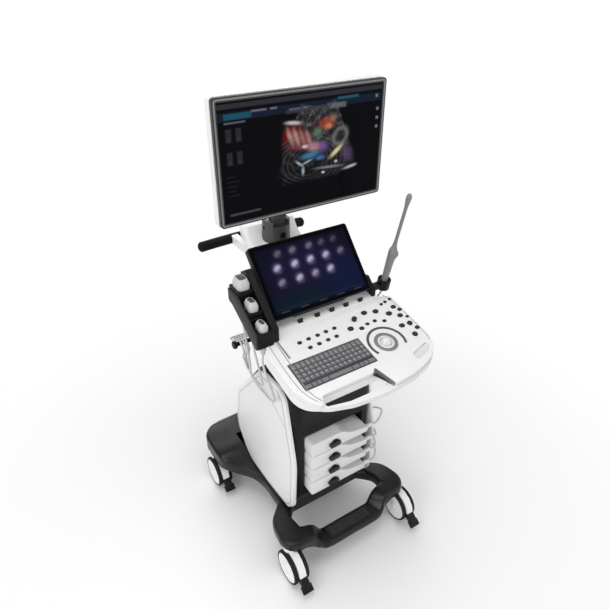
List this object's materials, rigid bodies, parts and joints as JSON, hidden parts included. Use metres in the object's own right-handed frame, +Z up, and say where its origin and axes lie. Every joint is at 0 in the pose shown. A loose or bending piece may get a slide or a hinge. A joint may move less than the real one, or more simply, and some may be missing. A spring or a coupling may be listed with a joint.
{
  "type": "ultrasound machine",
  "caption": "Cart-based diagnostic ultrasound machine: wheeled base, lifting console with trackball and keys, tilting touch screen, monitor on an arm, and corded hand probes.",
  "frame": {"origin": "on the floor, under the middle of the machine's outer box", "axes": "+Z up; -Y towards the operator, who faces +Y; +X to the operator's right"},
  "size_m": [0.619, 0.8169, 1.5935],
  "materials": {
    "white_plastic": "satin",
    "black_plastic": "satin",
    "cast_base": "matte",
    "rubber": "matte",
    "tyre": "matte",
    "grey_plastic": "satin",
    "pale_grey": "satin",
    "screen_glass": "gloss",
    "cable_jacket": "matte"
  },
  "bodies": {
    "base": {"base_frame": "cast_base", "foot_tread": "rubber", "tower": "black_plastic", "side_panel_left": "white_plastic", "side_panel_right": "white_plastic", "rear_cover": "pale_grey", "probe_plug_1": "white_plastic", "probe_plug_2": "white_plastic", "probe_plug_3": "white_plastic", "probe_plug_4": "white_plastic"},
    "caster_front_left": {"caster_body_front_left": "white_plastic"},
    "wheels_front_left": {"caster_wheels_front_left": "tyre"},
    "pedal_front_left": {"brake_pedal_front_left": "black_plastic"},
    "caster_front_right": {"caster_body_front_right": "white_plastic"},
    "wheels_front_right": {"caster_wheels_front_right": "tyre"},
    "pedal_front_right": {"brake_pedal_front_right": "black_plastic"},
    "caster_rear_left": {"caster_body_rear_left": "white_plastic"},
    "wheels_rear_left": {"caster_wheels_rear_left": "tyre"},
    "pedal_rear_left": {"brake_pedal_rear_left": "black_plastic"},
    "caster_rear_right": {"caster_body_rear_right": "white_plastic"},
    "wheels_rear_right": {"caster_wheels_rear_right": "tyre"},
    "pedal_rear_right": {"brake_pedal_rear_right": "black_plastic"},
    "lock_1": {"plug_lock_1": "black_plastic"},
    "lock_2": {"plug_lock_2": "black_plastic"},
    "lock_3": {"plug_lock_3": "black_plastic"},
    "lock_4": {"plug_lock_4": "black_plastic"},
    "console": {"lift_shroud": "black_plastic", "console_base": "white_plastic", "console_top": "white_plastic", "keyboard": "grey_plastic", "button_board": "grey_plastic", "touch_bracket": "black_plastic", "holder_left": "black_plastic", "holder_right": "black_plastic", "neck_cover": "white_plastic", "rear_handle": "black_plastic", "probe_linear": "pale_grey", "probe_phased": "pale_grey", "probe_convex": "pale_grey", "probe_endocavity": "pale_grey", "cord_linear": "cable_jacket", "cord_phased": "cable_jacket", "cord_convex": "cable_jacket", "cord_endocavity": "cable_jacket"},
    "touch_screen": {"touch_housing": "black_plastic", "touch_glass": "screen_glass"},
    "turret": {"arm_knuckle": "grey_plastic"},
    "arm": {"arm_link": "grey_plastic"},
    "monitor": {"monitor_back": "white_plastic", "monitor_bezel": "grey_plastic", "monitor_glass": "screen_glass"},
    "toggle_1": {"toggle_1": "black_plastic"},
    "toggle_2": {"toggle_2": "black_plastic"},
    "toggle_3": {"toggle_3": "black_plastic"},
    "toggle_4": {"toggle_4": "black_plastic"},
    "toggle_5": {"toggle_5": "black_plastic"},
    "gain_knob": {"gain_knob": "black_plastic"},
    "freeze_key": {"freeze_key": "grey_plastic"},
    "print_key": {"print_key": "grey_plastic"},
    "trackball": {"trackball": "grey_plastic"}
  },
  "joints": [
    {"name": "swivel_front_left", "type": "hinge", "parent": "base", "child": "caster_front_left", "pos_m": [-0.244, -0.2526, 0.137], "axis": [0, 0, 1], "continuous": true},
    {"name": "roll_front_left", "type": "hinge", "parent": "caster_front_left", "child": "wheels_front_left", "pos_m": [-0.244, -0.2776, 0.0625], "axis": [1, 0, 0], "continuous": true},
    {"name": "brake_front_left", "type": "hinge", "parent": "caster_front_left", "child": "pedal_front_left", "pos_m": [-0.244, -0.3431, 0.0545], "axis": [1, 0, 0], "range_deg": [0, 18]},
    {"name": "swivel_front_right", "type": "hinge", "parent": "base", "child": "caster_front_right", "pos_m": [0.244, -0.2526, 0.137], "axis": [0, 0, 1], "continuous": true},
    {"name": "roll_front_right", "type": "hinge", "parent": "caster_front_right", "child": "wheels_front_right", "pos_m": [0.244, -0.2776, 0.0625], "axis": [1, 0, 0], "continuous": true},
    {"name": "brake_front_right", "type": "hinge", "parent": "caster_front_right", "child": "pedal_front_right", "pos_m": [0.244, -0.3431, 0.0545], "axis": [1, 0, 0], "range_deg": [0, 18]},
    {"name": "swivel_rear_left", "type": "hinge", "parent": "base", "child": "caster_rear_left", "pos_m": [-0.279, 0.2814, 0.137], "axis": [0, 0, 1], "continuous": true},
    {"name": "roll_rear_left", "type": "hinge", "parent": "caster_rear_left", "child": "wheels_rear_left", "pos_m": [-0.279, 0.2564, 0.0625], "axis": [1, 0, 0], "continuous": true},
    {"name": "brake_rear_left", "type": "hinge", "parent": "caster_rear_left", "child": "pedal_rear_left", "pos_m": [-0.279, 0.1909, 0.0545], "axis": [1, 0, 0], "range_deg": [0, 18]},
    {"name": "swivel_rear_right", "type": "hinge", "parent": "base", "child": "caster_rear_right", "pos_m": [0.279, 0.2814, 0.137], "axis": [0, 0, 1], "continuous": true},
    {"name": "roll_rear_right", "type": "hinge", "parent": "caster_rear_right", "child": "wheels_rear_right", "pos_m": [0.279, 0.2564, 0.0625], "axis": [1, 0, 0], "continuous": true},
    {"name": "brake_rear_right", "type": "hinge", "parent": "caster_rear_right", "child": "pedal_rear_right", "pos_m": [0.279, 0.1909, 0.0545], "axis": [1, 0, 0], "range_deg": [0, 18]},
    {"name": "lock_turn_1", "type": "hinge", "parent": "base", "child": "lock_1", "pos_m": [-0.022, -0.1976, 0.283], "axis": [0, 1, 0], "range_deg": [0, 90]},
    {"name": "lock_turn_2", "type": "hinge", "parent": "base", "child": "lock_2", "pos_m": [-0.022, -0.1976, 0.346], "axis": [0, 1, 0], "range_deg": [0, 90]},
    {"name": "lock_turn_3", "type": "hinge", "parent": "base", "child": "lock_3", "pos_m": [-0.022, -0.1976, 0.409], "axis": [0, 1, 0], "range_deg": [0, 90]},
    {"name": "lock_turn_4", "type": "hinge", "parent": "base", "child": "lock_4", "pos_m": [-0.022, -0.1976, 0.472], "axis": [0, 1, 0], "range_deg": [0, 90]},
    {"name": "console_lift", "type": "slide", "parent": "base", "child": "console", "axis": [0, 0, 1], "range_m": [0, 0.18]},
    {"name": "touch_tilt", "type": "hinge", "parent": "console", "child": "touch_screen", "pos_m": [0, -0.0376, 0.964], "axis": [1, 0, 0], "range_deg": [-15, 10]},
    {"name": "arm_swivel", "type": "hinge", "parent": "console", "child": "turret", "pos_m": [0, 0.2084, 1.076], "axis": [0, 0, 1], "range_deg": [-60, 60]},
    {"name": "arm_tilt", "type": "hinge", "parent": "turret", "child": "arm", "pos_m": [0, 0.2084, 1.126], "axis": [1, 0, 0], "range_deg": [-15, 15]},
    {"name": "monitor_tilt", "type": "hinge", "parent": "arm", "child": "monitor", "pos_m": [0, 0.1324, 1.4], "axis": [1, 0, 0], "range_deg": [-15, 20]},
    {"name": "toggle_rock_1", "type": "hinge", "parent": "console", "child": "toggle_1", "pos_m": [-0.089, -0.08283, 0.9286], "axis": [1, 0, 0], "range_deg": [-12, 12], "stiffness_Nm_per_rad": 0.03},
    {"name": "toggle_rock_2", "type": "hinge", "parent": "console", "child": "toggle_2", "pos_m": [-0.026, -0.08283, 0.9286], "axis": [1, 0, 0], "range_deg": [-12, 12], "stiffness_Nm_per_rad": 0.03},
    {"name": "toggle_rock_3", "type": "hinge", "parent": "console", "child": "toggle_3", "pos_m": [0.03, -0.08283, 0.9286], "axis": [1, 0, 0], "range_deg": [-12, 12], "stiffness_Nm_per_rad": 0.03},
    {"name": "toggle_rock_4", "type": "hinge", "parent": "console", "child": "toggle_4", "pos_m": [0.086, -0.08283, 0.9286], "axis": [1, 0, 0], "range_deg": [-12, 12], "stiffness_Nm_per_rad": 0.03},
    {"name": "toggle_rock_5", "type": "hinge", "parent": "console", "child": "toggle_5", "pos_m": [0.143, -0.08283, 0.9286], "axis": [1, 0, 0], "range_deg": [-12, 12], "stiffness_Nm_per_rad": 0.03},
    {"name": "gain_turn", "type": "hinge", "parent": "console", "child": "gain_knob", "pos_m": [0.069, -0.1506, 0.91692], "axis": [0, -0.2198, 0.9755], "continuous": true},
    {"name": "freeze_press", "type": "slide", "parent": "console", "child": "freeze_key", "axis": [0, 0.2198, -0.9755], "range_m": [0, 0.0015], "stiffness_N_per_m": 500},
    {"name": "print_press", "type": "slide", "parent": "console", "child": "print_key", "axis": [0, 0.2198, -0.9755], "range_m": [0, 0.0015], "stiffness_N_per_m": 500},
    {"name": "ball_roll", "type": "hinge", "parent": "console", "child": "trackball", "pos_m": [0.104, -0.26794, 0.8874], "axis": [1, 0, 0], "continuous": true}
  ]
}
